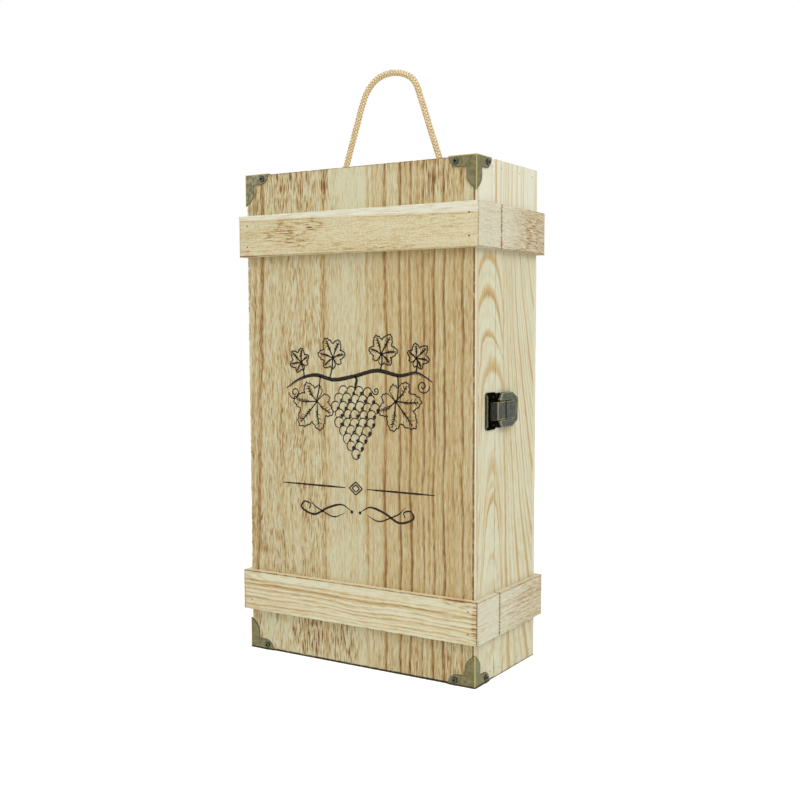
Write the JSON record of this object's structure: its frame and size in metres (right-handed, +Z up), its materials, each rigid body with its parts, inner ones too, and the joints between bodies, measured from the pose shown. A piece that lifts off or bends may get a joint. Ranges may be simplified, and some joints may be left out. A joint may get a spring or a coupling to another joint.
{
  "type": "wooden wine box",
  "caption": "Upright wooden carrying box for two wine bottles, with a side-hinged lid, battens, corner protectors, a spring latch and a rope handle.",
  "frame": {"origin": "centre of the bounding box's underside, on the surface the box stands on", "axes": "+X runs along the front, to the right as seen from the front; the front faces -Y; +Z is up"},
  "size_m": [0.2014, 0.1004, 0.4226],
  "materials": {
    "panel_wood": "brushed and scorched softwood, matt",
    "frame_wood": "lightly scorched softwood, matt",
    "batten_wood": "scorched softwood strip, matt",
    "bronze": "antique bronze, satin, worn at the folds",
    "latch_bronze": "dark antique bronze, satin",
    "dark_steel": "blackened steel, satin",
    "rope": "braided natural fibre"
  },
  "bodies": {
    "case": {"back_panel": "panel_wood", "case_side_left": "frame_wood", "case_side_right": "frame_wood", "case_top": "frame_wood", "case_bottom": "frame_wood", "bottle_divider": "frame_wood", "batten_lower_back": "batten_wood", "batten_upper_back": "batten_wood", "batten_lower_left_of_case": "batten_wood", "batten_lower_right_of_case": "batten_wood", "batten_upper_left_of_case": "batten_wood", "batten_upper_right_of_case": "batten_wood", "case_brads": "dark_steel", "hinge_lower_case_leaf": "latch_bronze", "hinge_upper_case_leaf": "latch_bronze", "hinge_lower_pin": "latch_bronze", "hinge_upper_pin": "latch_bronze", "case_hinge_screws": "dark_steel", "latch_strike": "latch_bronze", "strike_screws": "dark_steel", "rope_end_left": "rope", "rope_end_right": "rope"},
    "lid": {"front_panel": "panel_wood", "lid_side_left": "frame_wood", "lid_side_right": "frame_wood", "lid_top": "frame_wood", "lid_bottom": "frame_wood", "batten_lower_front": "batten_wood", "batten_upper_front": "batten_wood", "batten_lower_left_of_lid": "batten_wood", "batten_lower_right_of_lid": "batten_wood", "batten_upper_left_of_lid": "batten_wood", "batten_upper_right_of_lid": "batten_wood", "corner_bottom_left": "bronze", "corner_bottom_right": "bronze", "corner_top_left": "bronze", "corner_top_right": "bronze", "corner_screws": "dark_steel", "lid_brads": "dark_steel", "hinge_lower_lid_leaf": "latch_bronze", "hinge_upper_lid_leaf": "latch_bronze", "lid_hinge_screws": "dark_steel", "latch_base": "latch_bronze", "latch_base_screws": "dark_steel", "latch_pin": "latch_bronze"},
    "latch_tongue": {"latch_tongue": "latch_bronze"},
    "rope_handle": {"rope_handle": "rope"}
  },
  "joints": [
    {"name": "lid_hinge", "type": "hinge", "parent": "case", "child": "lid", "pos_m": [-0.1006, -0.018, 0.175], "axis": [0, 0, -1], "range_deg": [0, 180]},
    {"name": "latch_pivot", "type": "hinge", "parent": "lid", "child": "latch_tongue", "pos_m": [0.0968, -0.0273, 0.1835], "axis": [0, 0, -1], "range_deg": [0, 150]},
    {"name": "handle_swing", "type": "hinge", "parent": "case", "child": "rope_handle", "pos_m": [0, 0.002, 0.35], "axis": [1, 0, 0], "range_deg": [-60, 60]}
  ]
}
